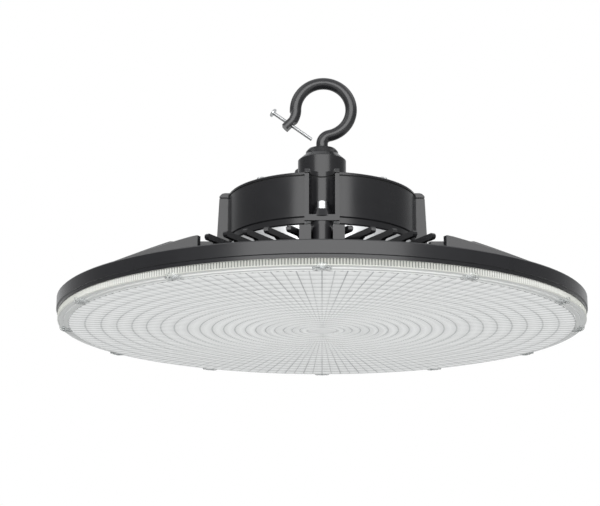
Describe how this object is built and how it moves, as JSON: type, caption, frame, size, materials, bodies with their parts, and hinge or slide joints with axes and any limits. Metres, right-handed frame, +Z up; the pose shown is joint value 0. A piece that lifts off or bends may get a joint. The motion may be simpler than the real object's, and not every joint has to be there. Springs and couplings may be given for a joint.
{
  "type": "high bay light",
  "caption": "Round suspended high bay light with a finned black heat sink, clear stepped lens, round driver housing and a top ring hook with a latch screw.",
  "frame": {"origin": "middle of the flat lens face, the lowest point of the lamp", "axes": "+Z up the lamp's axis to the hook; +X towards the closed side of the hook's loop; -Y is the front, seen with the hook's mouth on the left"},
  "size_m": [0.39, 0.39, 0.1996],
  "materials": {
    "black_casting": "black powder coat",
    "clear_lens": "clear prismatic polycarbonate",
    "rubber_seal": "grey silicone rubber",
    "steel_screws": "stainless steel",
    "board_white": "white solder mask on aluminium",
    "led_phosphor": "yellow phosphor",
    "white_nylon": "white nylon",
    "bare_aluminium": "bare cast aluminium",
    "black_rubber": "black rubber",
    "driver_potting": "grey potted case",
    "black_steel": "black coated steel rod",
    "black_nylon": "black nylon"
  },
  "bodies": {
    "root": {"heat_sink": "black_casting", "lens": "clear_lens", "lens_seal": "rubber_seal", "lens_screws": "steel_screws", "led_board": "board_white", "led_packages": "led_phosphor", "board_screws": "steel_screws", "lead_connector": "white_nylon", "driver_base": "bare_aluminium", "base_seals": "rubber_seal", "driver_housing": "black_casting", "housing_screws": "steel_screws", "lead_grommet": "black_rubber", "driver_module": "driver_potting", "driver_screws": "steel_screws", "terminal_block": "white_nylon", "housing_cover": "black_casting", "cover_gasket": "black_rubber", "cover_screws": "steel_screws", "hook_base": "black_casting", "hook": "black_steel", "hook_washer": "steel_screws", "hook_nut": "steel_screws", "latch_screw": "steel_screws", "gland_body": "black_nylon", "gland_seal": "black_rubber", "gland_nut": "black_nylon", "gland_locknut": "black_nylon"}
  },
  "joints": []
}
